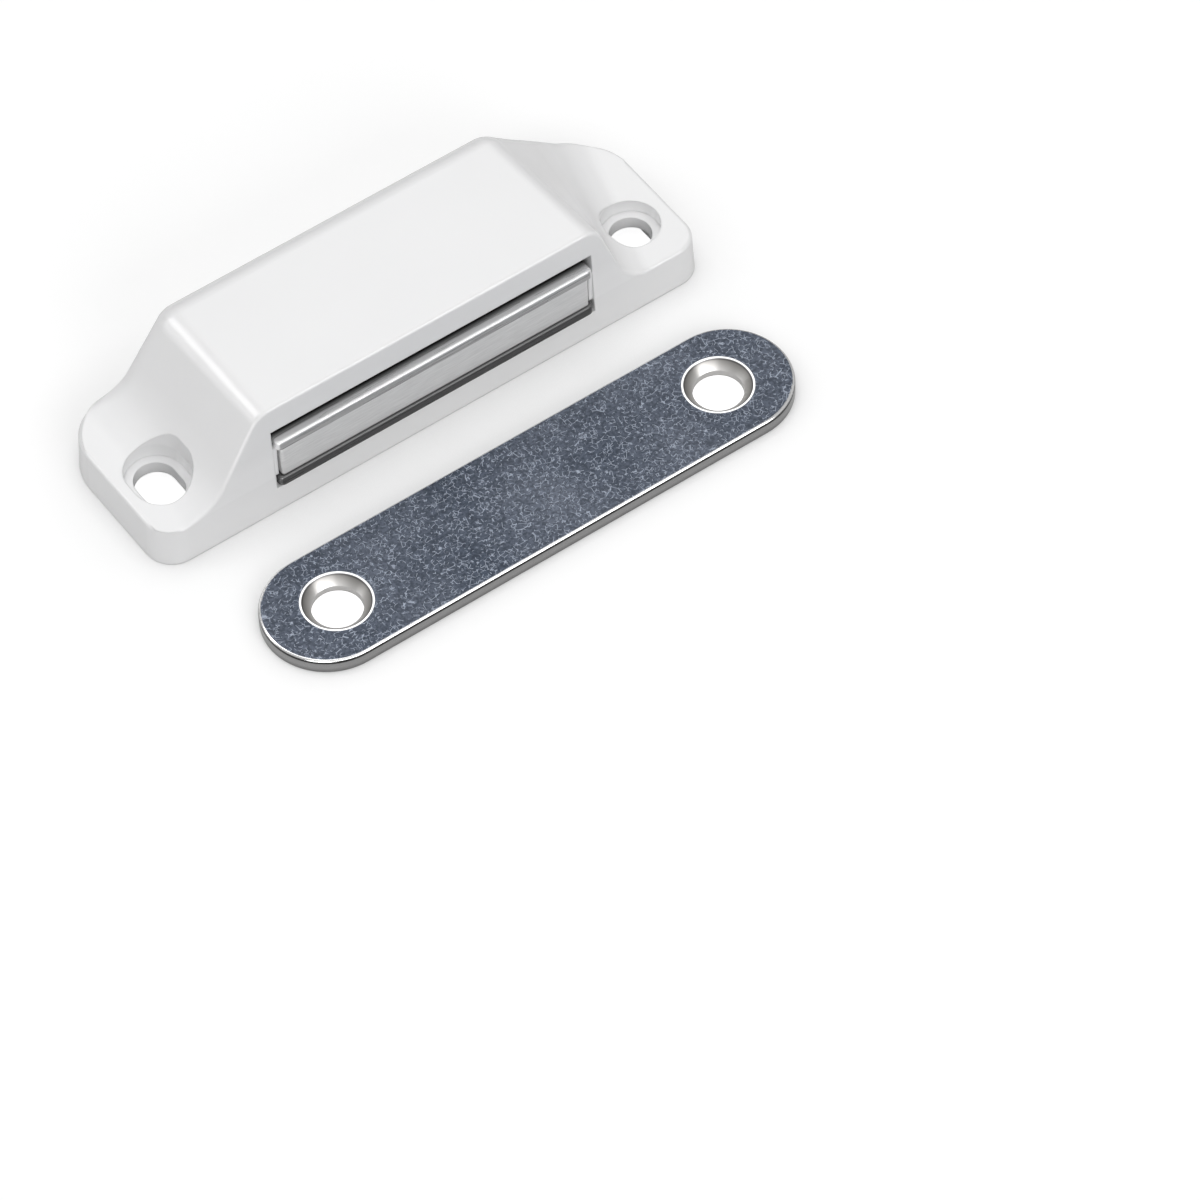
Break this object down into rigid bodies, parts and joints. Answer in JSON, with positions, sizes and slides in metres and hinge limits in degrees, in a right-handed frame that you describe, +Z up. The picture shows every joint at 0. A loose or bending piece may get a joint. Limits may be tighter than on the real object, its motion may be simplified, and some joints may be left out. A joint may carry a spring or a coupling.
{
  "type": "magnetic catch",
  "caption": "Surface-mounted magnetic cupboard catch: moulded housing with screw flanges, floating magnet pack in a front mouth, and a round-ended strike plate.",
  "frame": {"origin": "middle of the housing's base plane, halfway along the housing and halfway between its front and back foot lines", "axes": "+X along the housing towards the round screw hole, +Y from the pole faces into the housing, +Z up from the base to the flat top"},
  "size_m": [0.0684, 0.0422, 0.015],
  "materials": {
    "white_plastic": "satin",
    "pole_steel": "satin",
    "magnet": "brushed",
    "zinc_steel": "mottled zinc with polished edge"
  },
  "bodies": {
    "housing": {"housing": "white_plastic", "strike_plate": "zinc_steel"},
    "magnet_pack": {"magnet": "magnet", "upper_pole_plate": "pole_steel", "lower_pole_plate": "pole_steel"}
  },
  "joints": [
    {"name": "pack_float", "type": "slide", "parent": "housing", "child": "magnet_pack", "axis": [0, 1, 0], "range_m": [0, 0.0006]}
  ]
}
